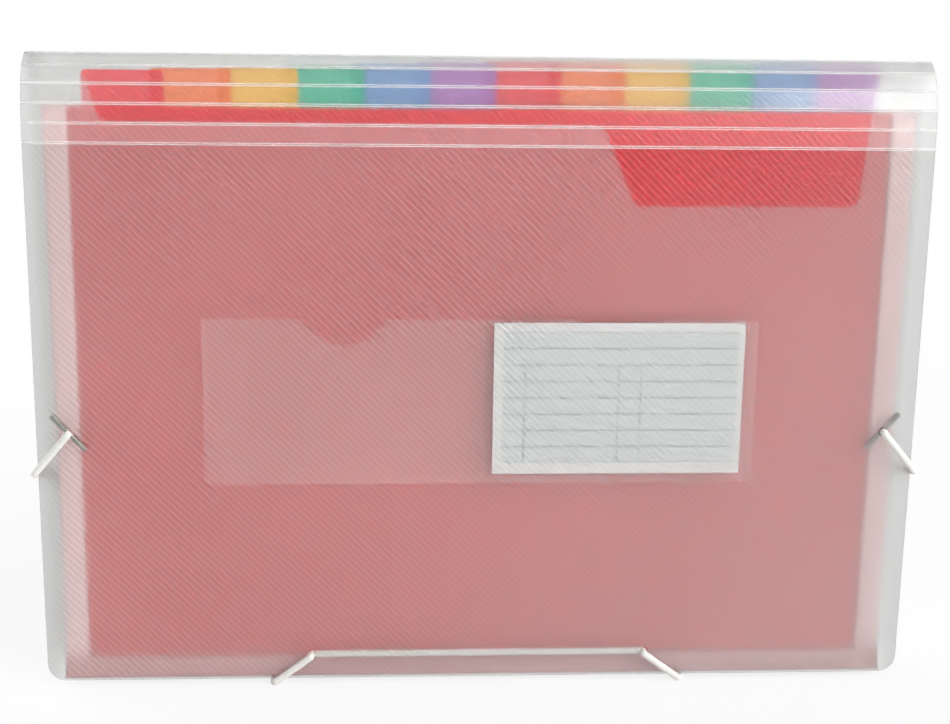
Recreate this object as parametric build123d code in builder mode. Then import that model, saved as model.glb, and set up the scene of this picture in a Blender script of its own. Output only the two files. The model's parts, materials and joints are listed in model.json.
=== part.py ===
"""An expanding file of frosted plastic sheet, standing closed on its lower edge.

One cover sheet runs from the back panel over a creased spine and down the front as a flap.
Twelve coloured dividers and a front sheet, joined by pleated gussets, make thirteen pockets.
A label pocket with a ruled card sits inside the flap, and one elastic cord, ending in two
metal T-bars, holds the lower corners shut. Millimetres, +Z up, the flap faces -Y.
"""

import os
from math import cos, radians, sin, tan

from build123d import *

os.makedirs("parts", exist_ok=True)

# Cover sheet
cover_width = 330.0
cover_thickness = 0.7
flap_height = 206.0
cover_corner_radius = 7.0
strip_width = 7.0
# Fall of each spine strip towards the front, in degrees below level, from the back to the flap.
strip_slopes = (-4, 34, 60, 77, 84, 87)
crease_gap = 0.3

# Elastic cord and its two T-bars
cord_diameter = 2.3
cord_clearance = 0.2
cord_bend_radius = 1.5
cord_foot_depth = 0.25
hole_diameter = 4.0
side_hole_inset = 11.5
side_hole_height = 98.4
side_wrap_height = 80.0
bottom_hole_spread = 129.4
bottom_hole_height = 9.5
bottom_wrap_spread = 158.0
bar_diameter = 2.2
bar_length = 18.4
bar_tilt = 42.0
bar_neck_diameter = 2.0

# Bellows: pockets, dividers, gussets and front sheet
pocket_count = 13
front_room = 5.0
cover_margin = 6.0
side_pleat_depth = 9.0
bottom_pleat_depth = 6.5
bottom_room = 0.6
gusset_thickness = 0.2
pleat_gap = 0.06
divider_thickness = 0.35
divider_corner_radius = 4.0
tab_clearance = 1.0
tab_height = 13.0
tab_width = 29.0
tab_inset_left = 5.5
tab_inset_right = 2.5
tab_corner_radius = 2.0
divider_colours = ("red", "orange", "yellow", "green", "blue", "purple") * 2

# Front sheet with its stepped finger notch
front_sheet_thickness = 0.4
ear_width = 7.0
ear_corner_radius = 1.5
ear_slant = 4.5
step_drop = 5.2
notch_drop = 34.7
notch_inset = 10.6
notch_width = 83.6
notch_slant = 12.6
notch_corner_radius = 4.5

# Label pocket and card
label_width = 207.3
label_height = 63.4
label_base_height = 78.5
label_sheet_thickness = 0.25
label_side_weld = 2.0
label_bottom_weld = 3.5
label_corner_radius = 2.0
thumb_radius = 17.0
thumb_depth = 10.0
card_thickness = 0.3
card_face_clearance = 0.1
card_side_clearance = 3.2
card_seat_clearance = 0.2
card_top_inset = 1.2

# Levels and planes that follow from the sizes above
cord_radius = cord_diameter / 2
cord_offset = cord_radius + cord_clearance
cord_foot_level = cord_radius - cord_foot_depth
cover_base = cord_foot_level + cord_offset
flap_top = cover_base + flap_height
spine_depth = sum(strip_width * cos(radians(slope)) for slope in strip_slopes)
back_y = spine_depth / 2
flap_y = -spine_depth / 2
back_inside = back_y - cover_thickness / 2
flap_inside = flap_y + cover_thickness / 2
cord_back_y = back_y + cover_thickness / 2 + cord_offset
cord_front_y = flap_y - cover_thickness / 2 - cord_offset
cord_side_x = cover_width / 2 + cord_offset

# Crease lines as (y, z), from the back panel's top to the flap's top
creases = [(flap_y, flap_top)]
for slope in reversed(strip_slopes):
    y, z = creases[0]
    creases.insert(0, (y + strip_width * cos(radians(slope)), z + strip_width * sin(radians(slope))))
crease_turns = [
    after - before for before, after in zip((-90, *strip_slopes), (*strip_slopes, 90))
]


def crease_setback(turn):
    """How far a sheet stops short of a crease that folds by turn degrees."""
    return cover_thickness / 2 * tan(radians(abs(turn) / 2)) + crease_gap / 2


def spine_underside(depth_y):
    """Height of the spine's inner face above a plane of constant y."""
    for (back, high), (front, low), slope in zip(creases, creases[1:], strip_slopes):
        if front <= depth_y <= back:
            along = (back - depth_y) / (back - front)
            return high + along * (low - high) - cover_thickness / 2 / cos(radians(slope))
    return flap_top


# Pocket walls: sheet 0 is the front sheet, 1 to 12 are the dividers
pocket_pitch = (back_inside - flap_inside - front_room) / pocket_count
sheet_y = [back_inside - pocket_pitch * (pocket_count - k) for k in range(pocket_count)]
sheet_width = cover_width - 2 * (cover_margin + side_pleat_depth)
sheet_base = cover_base + bottom_room + bottom_pleat_depth
tab_tops = [spine_underside(y - divider_thickness / 2) - tab_clearance for y in sheet_y[1:]]
divider_top = tab_tops[0] - tab_height
ear_top = spine_underside(sheet_y[0] - front_sheet_thickness / 2) - tab_clearance
tab_pitch = (sheet_width - tab_inset_left - tab_inset_right - tab_width) / (len(divider_colours) - 1)

# Back panel of the cover
back_top = creases[0][1] - crease_setback(crease_turns[0])
with BuildPart() as back_cover:
    with BuildSketch(Plane.XZ.offset(-back_y)) as back_outline:
        with Locations((0, cover_base)):
            Rectangle(cover_width, back_top - cover_base, align=(Align.CENTER, Align.MIN))
        fillet(back_outline.vertices().group_by(Axis.Y)[0], cover_corner_radius)
    extrude(amount=cover_thickness / 2, both=True)
back_cover.part.label = "back_cover"
export_step(back_cover.part, "parts/back_cover.step")

# Spine strips between neighbouring creases
for number, (start, end) in enumerate(zip(creases, creases[1:]), start=1):
    first_setback = crease_setback(crease_turns[number - 1])
    last_setback = crease_setback(crease_turns[number])
    along = (0, end[0] - start[0], end[1] - start[1])
    with BuildPart() as spine_strip:
        with BuildSketch(Plane(origin=(0, *start), x_dir=along, z_dir=(1, 0, 0))):
            with Locations((first_setback, 0)):
                Rectangle(
                    strip_width - first_setback - last_setback,
                    cover_thickness,
                    align=(Align.MIN, Align.CENTER),
                )
        extrude(amount=cover_width / 2, both=True)
    spine_strip.part.label = f"spine_strip_{number}"
    export_step(spine_strip.part, f"parts/spine_strip_{number}.step")

# Front flap with the four cord holes
side_hole_x = cover_width / 2 - side_hole_inset
side_hole_z = cover_base + side_hole_height
bottom_hole_x = bottom_hole_spread / 2
bottom_hole_z = cover_base + bottom_hole_height
flap_sheet_top = flap_top - crease_setback(crease_turns[-1])
with BuildPart() as front_flap:
    with BuildSketch(Plane.XZ.offset(-flap_y)) as flap_outline:
        with Locations((0, cover_base)):
            Rectangle(cover_width, flap_sheet_top - cover_base, align=(Align.CENTER, Align.MIN))
        fillet(flap_outline.vertices().group_by(Axis.Y)[0], cover_corner_radius)
        with Locations(
            (-side_hole_x, side_hole_z),
            (side_hole_x, side_hole_z),
            (-bottom_hole_x, bottom_hole_z),
            (bottom_hole_x, bottom_hole_z),
        ):
            Circle(hole_diameter / 2, mode=Mode.SUBTRACT)
    extrude(amount=cover_thickness / 2, both=True)
front_flap.part.label = "front_flap"
export_step(front_flap.part, "parts/front_flap.step")

# Label pocket: a thin sheet welded to the flap's inner face along its sides, middle and base
label_base = cover_base + label_base_height
label_top = label_base + label_height
card_room = card_thickness + 2 * card_face_clearance
label_sheet_y = flap_inside + card_room + label_sheet_thickness
window_width = (label_width - 3 * label_side_weld) / 2
window_x = (window_width + label_side_weld) / 2
with BuildPart() as label_pocket:
    with BuildSketch(Plane.XZ.offset(-label_sheet_y)) as label_outline:
        with Locations((0, label_base)):
            Rectangle(label_width, label_height, align=(Align.CENTER, Align.MIN))
        fillet(label_outline.vertices().group_by(Axis.Y)[0], label_corner_radius)
        with Locations(
            (-window_x, label_top + thumb_radius - thumb_depth),
            (window_x, label_top + thumb_radius - thumb_depth),
        ):
            Circle(thumb_radius, mode=Mode.SUBTRACT)
    extrude(amount=label_sheet_thickness)
    with BuildSketch(Plane.XZ.offset(-flap_inside)) as weld_outline:
        with Locations((0, label_base)):
            Rectangle(label_width, label_height, align=(Align.CENTER, Align.MIN))
        fillet(weld_outline.vertices().group_by(Axis.Y)[0], label_corner_radius)
        with Locations(
            (-window_x, label_base + label_bottom_weld),
            (window_x, label_base + label_bottom_weld),
        ):
            Rectangle(window_width, label_height, align=(Align.CENTER, Align.MIN), mode=Mode.SUBTRACT)
    extrude(amount=-card_room)
label_pocket.part.label = "label_pocket"
export_step(label_pocket.part, "parts/label_pocket.step")

# Ruled card in the right half of the label pocket
card_width = window_width - 2 * card_side_clearance
card_base = label_base + label_bottom_weld + card_seat_clearance
card_height = label_top - card_top_inset - card_base
with BuildPart() as label_card:
    with BuildSketch(Plane.XZ.offset(-(flap_inside + card_face_clearance))):
        with Locations((window_x, card_base)):
            Rectangle(card_width, card_height, align=(Align.CENTER, Align.MIN))
    extrude(amount=-card_thickness)
label_card.part.label = "label_card"
export_step(label_card.part, "parts/label_card.step")

# Front sheet of the bellows, cut away in a shallow step and a deep notch between two ears
half_sheet = sheet_width / 2
step_level = divider_top - step_drop
notch_level = divider_top - notch_drop
ear_inner = half_sheet - ear_width
notch_right = half_sheet - notch_inset
notch_left = notch_right - notch_width
with BuildPart() as front_sheet:
    with BuildSketch(Plane.XZ.offset(-sheet_y[0])) as front_outline:
        with BuildLine():
            Polyline(
                (-half_sheet, sheet_base),
                (half_sheet, sheet_base),
                (half_sheet, ear_top),
                (ear_inner, ear_top),
                (notch_right, notch_level),
                (notch_left, notch_level),
                (notch_left - notch_slant, step_level),
                (-ear_inner + ear_slant, step_level),
                (-ear_inner, ear_top),
                (-half_sheet, ear_top),
                close=True,
            )
        make_face()
        fillet(front_outline.vertices().group_by(Axis.Y)[-1], ear_corner_radius)
        step_corners = front_outline.vertices().filter_by_position(Axis.Y, notch_level - 1, step_level + 1)
        fillet(step_corners, notch_corner_radius)
        fillet(front_outline.vertices().group_by(Axis.Y)[0], divider_corner_radius)
    extrude(amount=front_sheet_thickness / 2, both=True)
front_sheet.part.label = "front_sheet"
export_step(front_sheet.part, "parts/front_sheet.step")

# Dividers, each with its tab one step further to the right
for number, colour in enumerate(divider_colours, start=1):
    tab_left = -half_sheet + tab_inset_left + tab_pitch * (number - 1)
    with BuildPart() as divider:
        with BuildSketch(Plane.XZ.offset(-sheet_y[number])) as divider_outline:
            with Locations((0, sheet_base)):
                Rectangle(sheet_width, divider_top - sheet_base, align=(Align.CENTER, Align.MIN))
            with Locations((tab_left, sheet_base)):
                Rectangle(tab_width, tab_tops[number - 1] - sheet_base, align=(Align.MIN, Align.MIN))
            fillet(divider_outline.vertices().group_by(Axis.Y)[-1], tab_corner_radius)
            fillet(divider_outline.vertices().group_by(Axis.Y)[0], divider_corner_radius)
        extrude(amount=divider_thickness / 2, both=True)
    divider.part.label = f"divider_{number:02d}_{colour}"
    export_step(divider.part, f"parts/{divider.part.label}.step")


def pleat_section(plane_y, reach):
    """Sketch a gusset's outline in one plane, standing out by a share of the pleat's depth."""
    with BuildSketch(Plane.XZ.offset(-plane_y)) as section:
        with Locations((0, sheet_base - reach * bottom_pleat_depth)):
            Rectangle(
                sheet_width + 2 * reach * side_pleat_depth,
                divider_top - sheet_base + reach * bottom_pleat_depth,
                align=(Align.CENTER, Align.MIN),
            )
    return section.sketch


# Gussets: one folded strip per pocket, round its two sides and its base
wall_planes = [*sheet_y, back_inside]
for number, (front_wall, back_wall) in enumerate(zip(wall_planes, wall_planes[1:]), start=1):
    front_edge = front_wall + pleat_gap / 2
    back_edge = back_wall - pleat_gap / 2
    fold_plane = (front_edge + back_edge) / 2
    inner_reach = 1 - gusset_thickness / (fold_plane - front_edge)
    fold = pleat_section(fold_plane, 1)
    inner_fold = pleat_section(fold_plane, inner_reach)
    with BuildPart() as gusset:
        loft([pleat_section(front_edge, 0), fold], ruled=True)
        loft([fold, pleat_section(back_edge, 0)], ruled=True)
        loft(
            [pleat_section(front_edge + gusset_thickness, 0), inner_fold],
            ruled=True,
            mode=Mode.SUBTRACT,
        )
        loft(
            [inner_fold, pleat_section(back_edge - gusset_thickness, 0)],
            ruled=True,
            mode=Mode.SUBTRACT,
        )
        with BuildSketch(Plane.XZ.offset(-fold_plane)):
            with Locations((0, sheet_base)):
                Rectangle(sheet_width, divider_top - sheet_base, align=(Align.CENTER, Align.MIN))
        extrude(amount=back_wall - front_wall, both=True, mode=Mode.SUBTRACT)
    gusset.part.label = f"gusset_{number:02d}"
    export_step(gusset.part, f"parts/gusset_{number:02d}.step")

# Left cord loop: out of the side hole, round the side and across the back corner to the base
bar_y = flap_inside + cord_clearance + bar_diameter / 2
bar_neck_end = flap_inside + cord_clearance / 2
side_wrap_z = cover_base + side_wrap_height
bottom_wrap_x = bottom_wrap_spread / 2
loop_points = [
    (-side_hole_x, bar_neck_end, side_hole_z),
    (-side_hole_x, cord_front_y, side_hole_z),
    (-cord_side_x, cord_front_y, side_wrap_z),
    (-cord_side_x, cord_back_y, side_wrap_z),
    (-bottom_wrap_x, cord_back_y, cord_foot_level),
    (-bottom_wrap_x, back_y, cord_foot_level),
]
with BuildPart() as elastic_loop_left:
    with BuildLine() as loop_route:
        FilletPolyline(*loop_points, radius=cord_bend_radius)
    with BuildSketch(Plane(loop_route.wire() ^ 0)):
        Circle(cord_radius)
    sweep(path=loop_route.wire())
    split(bisect_by=Plane.XY, keep=Keep.TOP)
elastic_loop_left.part.label = "elastic_loop_left"
export_step(elastic_loop_left.part, "parts/elastic_loop_left.step")

with BuildPart() as elastic_loop_right:
    mirror(elastic_loop_left.part, about=Plane.YZ)
elastic_loop_right.part.label = "elastic_loop_right"
export_step(elastic_loop_right.part, "parts/elastic_loop_right.step")

# Left cord foot: on under the base, where both panels stand on it, and up into the bottom hole;
# the last point lies in the middle of the flap's thickness
foot_points = [
    (-bottom_wrap_x, back_y, cord_foot_level),
    (-bottom_wrap_x, cord_front_y, cord_foot_level),
    (-bottom_hole_x, cord_front_y, bottom_hole_z),
    (-bottom_hole_x, flap_y, bottom_hole_z),
]
with BuildPart() as elastic_foot_left:
    with BuildLine() as foot_route:
        FilletPolyline(*foot_points, radius=cord_bend_radius)
    with BuildSketch(Plane(foot_route.wire() ^ 0)):
        Circle(cord_radius)
    sweep(path=foot_route.wire())
    split(bisect_by=Plane.XY, keep=Keep.TOP)
elastic_foot_left.part.label = "elastic_foot_left"
export_step(elastic_foot_left.part, "parts/elastic_foot_left.step")

with BuildPart() as elastic_foot_right:
    mirror(elastic_foot_left.part, about=Plane.YZ)
elastic_foot_right.part.label = "elastic_foot_right"
export_step(elastic_foot_right.part, "parts/elastic_foot_right.step")

# Straight run of the cord behind the flap, between the two bottom holes
run_y = flap_inside + cord_offset
run_points = [
    (-bottom_hole_x, flap_y, bottom_hole_z),
    (-bottom_hole_x, run_y, bottom_hole_z),
    (bottom_hole_x, run_y, bottom_hole_z),
    (bottom_hole_x, flap_y, bottom_hole_z),
]
with BuildPart() as elastic_run:
    with BuildLine() as run_route:
        FilletPolyline(*run_points, radius=cord_bend_radius)
    with BuildSketch(Plane(run_route.wire() ^ 0)):
        Circle(cord_radius)
    sweep(path=run_route.wire())
elastic_run.part.label = "elastic_run"
export_step(elastic_run.part, "parts/elastic_run.step")
corner_length = loop_route.wire().length + foot_route.wire().length
print("cord length", round(2 * corner_length + run_route.wire().length, 1))

# T-bars that hold the cord's two ends behind the side holes
bar_direction = (sin(radians(bar_tilt)), 0, -cos(radians(bar_tilt)))
with BuildPart() as t_bar_left:
    with BuildSketch(Plane(origin=(-side_hole_x, bar_y, side_hole_z), z_dir=bar_direction)):
        Circle(bar_diameter / 2)
    extrude(amount=bar_length / 2, both=True)
    fillet(t_bar_left.edges().filter_by(GeomType.CIRCLE), bar_diameter / 5)
    with BuildSketch(Plane.XZ.offset(-bar_y)):
        with Locations((-side_hole_x, side_hole_z)):
            Circle(bar_neck_diameter / 2)
    extrude(amount=bar_y - bar_neck_end)
t_bar_left.part.label = "t_bar_left"
export_step(t_bar_left.part, "parts/t_bar_left.step")

with BuildPart() as t_bar_right:
    mirror(t_bar_left.part, about=Plane.YZ)
t_bar_right.part.label = "t_bar_right"
export_step(t_bar_right.part, "parts/t_bar_right.step")
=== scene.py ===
"""Looks of the expanding file: frosted cover, coloured bellows, label pocket and elastic closure.

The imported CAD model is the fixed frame. Flat sheets keep their CAD solids and get procedural
finishes; the folded creases, the pleated gussets and the elastic are worked out here with numpy.
Lengths are metres in the frame of the CAD model: +X to the right, +Y to the back, +Z up.
"""

import json
import logging
import math
from dataclasses import dataclass, field
from enum import Enum
from typing import Any, Iterable, Sequence

import bmesh
import bpy
import numpy as np
from bpy.types import Material, Node, NodeSocket, NodeTree, Object
from mathutils import Matrix, Vector

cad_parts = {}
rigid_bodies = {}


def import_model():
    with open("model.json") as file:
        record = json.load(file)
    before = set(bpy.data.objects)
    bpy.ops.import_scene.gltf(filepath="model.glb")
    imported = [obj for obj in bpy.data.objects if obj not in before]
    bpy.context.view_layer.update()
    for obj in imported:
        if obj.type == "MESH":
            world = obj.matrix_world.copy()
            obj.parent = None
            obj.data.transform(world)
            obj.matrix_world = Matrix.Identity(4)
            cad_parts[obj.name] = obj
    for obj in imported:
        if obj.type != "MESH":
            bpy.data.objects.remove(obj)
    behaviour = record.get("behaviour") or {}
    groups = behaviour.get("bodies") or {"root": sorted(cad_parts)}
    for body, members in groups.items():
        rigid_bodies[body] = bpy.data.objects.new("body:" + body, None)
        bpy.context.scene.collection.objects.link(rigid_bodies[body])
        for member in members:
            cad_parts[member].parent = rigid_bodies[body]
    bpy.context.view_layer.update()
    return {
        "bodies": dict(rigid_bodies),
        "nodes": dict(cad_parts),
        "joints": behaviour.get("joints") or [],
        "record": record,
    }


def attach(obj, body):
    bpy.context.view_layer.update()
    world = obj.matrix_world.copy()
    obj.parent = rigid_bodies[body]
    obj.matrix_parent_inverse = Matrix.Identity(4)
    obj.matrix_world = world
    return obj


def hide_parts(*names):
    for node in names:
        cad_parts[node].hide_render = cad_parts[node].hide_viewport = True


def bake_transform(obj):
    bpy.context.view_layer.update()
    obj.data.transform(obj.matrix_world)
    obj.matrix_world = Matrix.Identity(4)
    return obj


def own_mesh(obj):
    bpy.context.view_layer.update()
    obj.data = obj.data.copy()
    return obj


LOG = logging.getLogger("expanding_file")
MM = 0.001
GRAIN_DEPTH = 0.02 * MM
Colour = tuple[float, float, float]
Point = tuple[float, float, float]
Span = tuple[float, float]


class Hue(Enum):
    """Colours of the dividers, as linear red, green and blue."""

    RED = (0.93, 0.007, 0.028)
    ORANGE = (1.0, 0.22, 0.03)
    YELLOW = (0.97, 0.56, 0.05)
    GREEN = (0.03, 0.56, 0.36)
    BLUE = (0.16, 0.36, 0.70)
    PURPLE = (0.48, 0.18, 0.58)


class Side(Enum):
    """Left and right half of the file, as the sign of x."""

    LEFT = -1
    RIGHT = 1


class Graph:
    """A node tree that is filled from short calls."""

    def __init__(self, tree: NodeTree) -> None:
        """Start on an empty tree.

        Args:
            tree: The material's, world's or group's node tree.
        """
        self.tree = tree
        self.tree.nodes.clear()

    def feed(self, node: Node, values: dict[Any, Any]) -> None:
        """Fill input sockets of one node.

        Args:
            node: The node.
            values: Socket name or number to a plain value, or to an output socket to link.
        """
        for key, value in values.items():
            if isinstance(value, NodeSocket):
                self.tree.links.new(value, node.inputs[key])
            else:
                node.inputs[key].default_value = value

    def add(self, kind: str, inputs: dict[Any, Any] | None = None, **settings: Any) -> Node:
        """Add one node.

        Args:
            kind: Blender's name of the node type.
            inputs: Socket name or number to a value, or to an output socket to link.
            **settings: Properties of the node.

        Returns:
            The new node.
        """
        node = self.tree.nodes.new(kind)
        for key, value in settings.items():
            setattr(node, key, value)
        self.feed(node, inputs or {})
        return node

    def math(self, operation: str, first: Any, second: Any = 0.0, third: Any = 0.0) -> NodeSocket:
        """Add one Math node and give its output."""
        return self.add("ShaderNodeMath", {0: first, 1: second, 2: third}, operation=operation).outputs[0]

    def product(self, first: Any, second: Any) -> NodeSocket:
        """Multiply two values and give the result's socket."""
        return self.math("MULTIPLY", first, second)

    def off_middle(self, value: Any) -> NodeSocket:
        """Distance from the middle of each whole step: 0 in the middle, 0.5 at both ends."""
        return self.math("ABSOLUTE", self.math("SUBTRACT", self.math("FRACT", value), 0.5))

    def ramp(self, value: Any, low: Any, high: Any, to_low: Any = 0.0, to_high: Any = 1.0) -> NodeSocket:
        """Add one smooth Map Range node and give its output.

        Args:
            value: The value to map.
            low: Where the rise starts.
            high: Where the rise ends.
            to_low: Result before the rise.
            to_high: Result after the rise.

        Returns:
            The mapped value's socket.
        """
        node = self.add(
            "ShaderNodeMapRange",
            {"Value": value, "From Min": low, "From Max": high, "To Min": to_low, "To Max": to_high},
            interpolation_type="SMOOTHSTEP",
        )
        return node.outputs["Result"]

    def blend(self, share: Any, first: Any, second: Any) -> NodeSocket:
        """Mix two colours and give the result's socket.

        Args:
            share: Share of the second colour, from 0 to 1.
            first: The first colour, as three numbers or a socket.
            second: The second colour, likewise.

        Returns:
            The mixed colour's socket.
        """
        colours = {
            number: (*value, 1.0) if isinstance(value, tuple) else value
            for number, value in ((6, first), (7, second))
        }
        return self.add("ShaderNodeMix", {0: share, **colours}, data_type="RGBA").outputs[2]

    def noise(self, where: Any, scale: Any, detail: float, roughness: float = 0.5) -> NodeSocket:
        """Add one Noise node and give its value."""
        inputs = {"Vector": where, "Scale": scale, "Detail": detail, "Roughness": roughness}
        return self.add("ShaderNodeTexNoise", inputs).outputs[0]

    def group(self, tree: NodeTree, inputs: dict[str, Any]) -> Any:
        """Place a node group and give its outputs."""
        return self.add("ShaderNodeGroup", inputs, node_tree=tree).outputs

    def place(self) -> NodeSocket:
        """Object coordinates, in metres."""
        return self.add("ShaderNodeTexCoord").outputs["Object"]

    def split(self, vector: NodeSocket) -> Any:
        """The three parts of a vector."""
        return self.add("ShaderNodeSeparateXYZ", {0: vector}).outputs

    def bump(self, height: Any, depth: float, strength: float) -> NodeSocket:
        """Add one Bump node and give its normal."""
        inputs = {"Strength": strength, "Distance": depth, "Height": height}
        return self.add("ShaderNodeBump", inputs).outputs[0]


def new_group(name: str, numbers: dict[str, float], gives: Iterable[str]) -> tuple[Graph, Any, Node]:
    """Make a shader node group that takes a vector and some numbers and gives numbers.

    Args:
        name: The group's name.
        numbers: Name and default value of each number that it takes.
        gives: Name of each number that it gives.

    Returns:
        A graph on the group's tree, what the group takes, as sockets, and its output node.
    """
    graph = Graph(bpy.data.node_groups.new(name, "ShaderNodeTree"))
    sockets = graph.tree.interface
    sockets.new_socket("Vector", in_out="INPUT", socket_type="NodeSocketVector")
    for label, value in numbers.items():
        socket = sockets.new_socket(label, in_out="INPUT", socket_type="NodeSocketFloat")
        socket.default_value = value
    for label in gives:
        sockets.new_socket(label, in_out="OUTPUT", socket_type="NodeSocketFloat")
    return graph, graph.add("NodeGroupInput").outputs, graph.add("NodeGroupOutput")


@dataclass
class SharedEffects:
    """Shader node groups that several finishes use."""

    line_pitch: float = 2.0 * MM
    line_width: float = 0.60
    line_reach: float = 9.0 * MM
    bend_scale: float = 25.0
    bend_share: float = 0.12
    thin_scale: float = 160.0
    thin_from: Span = (0.25, 0.6)
    thin_to: Span = (0.6, 0.7)
    # Towards the lower right the lines fade; this stands in for the paler look that light gives the lower
    # right of the flap.
    lower_right_span: Span = (-0.22, 0.20)
    lower_right_fade: float = 0.8
    cloud_scale: float = 12.0
    cloud_roughness: float = 0.55
    grain_scale: float = 1800.0
    noise_span: Span = (0.3, 0.7)
    scuff_amount: float = 0.1
    scuff_turn: Point = (0.0, 0.35, 0.0)
    scuff_draw: Point = (9.0, 9.0, 900.0)
    scuff_span: Span = (0.78, 0.8)
    emboss: NodeTree = field(init=False)
    mottle: NodeTree = field(init=False)
    scuffs: NodeTree = field(init=False)

    def __post_init__(self) -> None:
        """Build each group once."""
        self.emboss = self.make_emboss()
        self.mottle = self.make_mottle()
        self.scuffs = self.make_scuffs()

    def make_emboss(self) -> NodeTree:
        """Fine raised lines at 45 degrees: highest along a line, 0 between lines.

        The phase is (x + y + z) over the pitch times the root of two, so lines fall to the right on
        an upright sheet and carry on over a tilted one; y counts only up to the depth. Noise bends and
        thins the lines, and they fade towards the lower right, as x less z rises: with the lower-right
        gloss this stands in for the paler look that light gives the lower right of the flap.

        Returns:
            The group's tree.
        """
        numbers = {"Pitch": self.line_pitch, "Width": self.line_width, "Depth": self.line_reach}
        graph, takes, gives = new_group("embossed_lines", numbers, ("Height", "Worn"))
        across, deep, up = graph.split(takes["Vector"])
        floor = graph.product(takes["Depth"], -1.0)
        kept = graph.math("MAXIMUM", graph.math("MINIMUM", deep, takes["Depth"]), floor)
        total = graph.math("ADD", graph.math("ADD", across, kept), up)
        turns = graph.math("DIVIDE", graph.product(total, math.sqrt(0.5)), takes["Pitch"])
        bend = graph.noise(takes["Vector"], self.bend_scale, detail=1.0)
        away = graph.off_middle(graph.math("ADD", turns, graph.product(bend, self.bend_share)))
        line = graph.ramp(away, 0.0, graph.product(takes["Width"], 0.5), 1.0, 0.0)
        thin = graph.noise(takes["Vector"], self.thin_scale, detail=2.0)
        full = graph.ramp(thin, *self.thin_from, *self.thin_to)
        lower_right = graph.ramp(graph.math("SUBTRACT", across, up), *self.lower_right_span)
        left = graph.product(full, graph.math("MULTIPLY_ADD", lower_right, -self.lower_right_fade, 1.0))
        graph.feed(gives, {"Height": graph.product(line, left), "Worn": lower_right})
        return graph.tree

    def make_mottle(self) -> NodeTree:
        """Cloudy variation of a rolled sheet: two scales of noise, from 0 to 1.

        Returns:
            The group's tree.
        """
        graph, takes, gives = new_group("cloudy_mottle", {"Scale": self.cloud_scale}, ("Cloud", "Grain"))
        cloud = graph.noise(takes["Vector"], takes["Scale"], detail=3.0, roughness=self.cloud_roughness)
        grain = graph.noise(takes["Vector"], self.grain_scale, detail=2.0)
        graph.feed(gives, {
            "Cloud": graph.ramp(cloud, *self.noise_span),
            "Grain": graph.ramp(grain, *self.noise_span),
        })
        return graph.tree

    def make_scuffs(self) -> NodeTree:
        """Sparse hairline scuffs: noise drawn out a hundredfold along a slanted direction.

        Returns:
            The group's tree.
        """
        graph, takes, gives = new_group("hairline_scuffs", {"Amount": self.scuff_amount}, ("Mask",))
        inputs = {"Vector": takes["Vector"], "Rotation": self.scuff_turn, "Scale": self.scuff_draw}
        drawn = graph.add("ShaderNodeMapping", inputs).outputs[0]
        start, end = self.scuff_span
        start = graph.math("SUBTRACT", start, takes["Amount"])
        graph.feed(gives, {"Mask": graph.ramp(graph.noise(drawn, scale=1.0, detail=1.0), start, end)})
        return graph.tree


def new_material(name: str) -> tuple[Material, Graph, Node]:
    """Make a material with one Principled shader.

    Args:
        name: The material's name.

    Returns:
        The material, its graph and its Principled node.
    """
    material = bpy.data.materials.new(name)
    material.use_nodes = True
    graph = Graph(material.node_tree)
    shader = graph.add("ShaderNodeBsdfPrincipled")
    graph.add("ShaderNodeOutputMaterial", {"Surface": shader.outputs[0]})
    return material, graph, shader


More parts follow.
